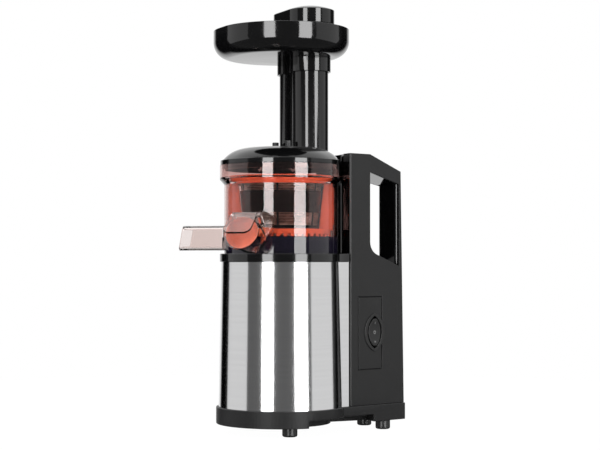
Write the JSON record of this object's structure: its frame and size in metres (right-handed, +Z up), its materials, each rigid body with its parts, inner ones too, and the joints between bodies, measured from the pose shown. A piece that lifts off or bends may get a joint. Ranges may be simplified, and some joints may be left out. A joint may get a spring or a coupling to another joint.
{
  "type": "cold press juicer",
  "caption": "Upright cold press juicer: steel-clad motor body with handle tower, smoked bowl with auger, strainer and brush, juice and pulp outlets, lid with feed tube, hopper tray, pusher.",
  "frame": {"origin": "on the auger's drive axis, at the level the feet stand on", "axes": "+Z up along the drive axis, +Y towards the carrying handle, +X towards the side with the power switch"},
  "size_m": [0.1886, 0.2396, 0.447],
  "materials": {
    "base_plastic": "satin black moulding",
    "foot_rubber": "smooth black rubber",
    "fastener_steel": "zinc plated",
    "body_steel": "satin stainless steel",
    "gloss_black": "gloss black",
    "panel_grey": "matt dark grey, fine texture",
    "switch_black": "satin black",
    "board_green": "varnished board",
    "motor_steel": "pressed steel",
    "bearing_steel": "ground steel",
    "winding": "lacquered laminations and windings",
    "shaft_steel": "turned steel",
    "fan_plastic": "moulded",
    "gearbox_alloy": "die cast",
    "gear_nylon": "natural nylon",
    "seal_rubber": "soft black rubber",
    "smoke_clear": "smoked see-through plastic, polished",
    "orange_silicone": "satin orange silicone",
    "plug_silicone": "dark red-brown silicone",
    "strainer_black": "satin black",
    "strainer_steel": "perforated stainless steel",
    "brush_orange": "satin orange plastic",
    "auger_black": "satin black",
    "lid_black": "gloss black",
    "hopper_black": "gloss black"
  },
  "bodies": {
    "body": {"base": "base_plastic", "foot_front_left": "foot_rubber", "foot_front_right": "foot_rubber", "foot_rear_left": "foot_rubber", "foot_rear_right": "foot_rubber", "base_screws": "fastener_steel", "steel_shell": "body_steel", "deck": "gloss_black", "tower_frame": "gloss_black", "side_panel_left": "panel_grey", "side_panel_right": "panel_grey", "switch_bezel": "switch_black", "circuit_board": "board_green", "interlock_switch": "switch_black", "cord_gland": "seal_rubber", "motor_cushion": "seal_rubber", "motor_can": "motor_steel", "motor_lid": "motor_steel", "stator": "winding", "lower_bearing": "bearing_steel", "upper_bearing": "bearing_steel", "gearbox_case": "gearbox_alloy", "gearbox_cover": "gearbox_alloy", "output_bearing": "bearing_steel", "shaft_seal": "seal_rubber"},
    "rotor": {"rotor_core": "motor_steel", "rotor_shaft": "shaft_steel", "fan": "fan_plastic"},
    "layshaft_set": {"layshaft": "shaft_steel", "lay_gear": "gear_nylon"},
    "output_set": {"output_gear": "gear_nylon", "output_shaft": "shaft_steel"},
    "power_rocker": {"rocker": "switch_black"},
    "bowl_set": {"bowl": "smoke_clear", "bowl_seal": "orange_silicone", "pulp_plug": "plug_silicone", "strainer_frame": "strainer_black", "strainer_wall": "strainer_steel", "cap_pin": "shaft_steel"},
    "idler": {"brush_idler": "gear_nylon"},
    "auger_set": {"auger_core": "auger_black", "auger_flights": "auger_black", "auger_shaft": "shaft_steel", "auger_gear": "gear_nylon"},
    "brush_set": {"brush_frame": "brush_orange", "wipers": "orange_silicone"},
    "drip_cap": {"outlet_cap": "smoke_clear", "cap_seal": "orange_silicone"},
    "lid_set": {"lid": "lid_black", "lid_stop": "seal_rubber"},
    "hopper": {"hopper_tray": "hopper_black"},
    "pusher": {"pusher_body": "hopper_black", "pusher_cap": "lid_black"}
  },
  "joints": [
    {"name": "rotor_spin", "type": "hinge", "parent": "body", "child": "rotor", "pos_m": [0, 0, 0.05], "axis": [0, 0, 1], "continuous": true},
    {"name": "layshaft_spin", "type": "hinge", "parent": "body", "child": "layshaft_set", "pos_m": [0, 0.03, 0.1], "axis": [0, 0, 1], "continuous": true},
    {"name": "output_spin", "type": "hinge", "parent": "body", "child": "output_set", "pos_m": [0, 0, 0.15], "axis": [0, 0, 1], "continuous": true},
    {"name": "power_switch", "type": "hinge", "parent": "body", "child": "power_rocker", "pos_m": [0.02453, 0.0926, 0.1035], "axis": [-0.2426, 0.9701, 0], "range_deg": [-8, 8]},
    {"name": "bowl_lift", "type": "slide", "parent": "body", "child": "bowl_set", "axis": [0, 0, 1], "range_m": [0, 0.03]},
    {"name": "idler_spin", "type": "hinge", "parent": "bowl_set", "child": "idler", "pos_m": [0.02121, 0.02121, 0.208], "axis": [0, 0, 1], "continuous": true},
    {"name": "auger_spin", "type": "hinge", "parent": "bowl_set", "child": "auger_set", "pos_m": [0, 0, 0.23], "axis": [0, 0, 1], "continuous": true},
    {"name": "brush_spin", "type": "hinge", "parent": "bowl_set", "child": "brush_set", "pos_m": [0, 0, 0.23], "axis": [0, 0, 1], "continuous": true},
    {"name": "drip_cap_hinge", "type": "hinge", "parent": "bowl_set", "child": "drip_cap", "pos_m": [0.07052, -0.07052, 0.22428], "axis": [-0.7071, -0.7071, 0], "range_deg": [-45, 55]},
    {"name": "lid_lift", "type": "slide", "parent": "bowl_set", "child": "lid_set", "axis": [0, 0, 1], "range_m": [0, 0.03]},
    {"name": "hopper_lift", "type": "slide", "parent": "lid_set", "child": "hopper", "axis": [0, 0, 1], "range_m": [0, 0.024]},
    {"name": "pusher_slide", "type": "slide", "parent": "lid_set", "child": "pusher", "axis": [0, 0, 1], "range_m": [0, 0.13]}
  ],
  "couplings": [
    {"joint": "layshaft_spin", "follows": "rotor_spin", "ratio": -0.25},
    {"joint": "output_spin", "follows": "rotor_spin", "ratio": 0.0625},
    {"joint": "auger_spin", "follows": "rotor_spin", "ratio": 0.0625},
    {"joint": "idler_spin", "follows": "rotor_spin", "ratio": -0.0625},
    {"joint": "brush_spin", "follows": "rotor_spin", "ratio": -0.020833}
  ]
}
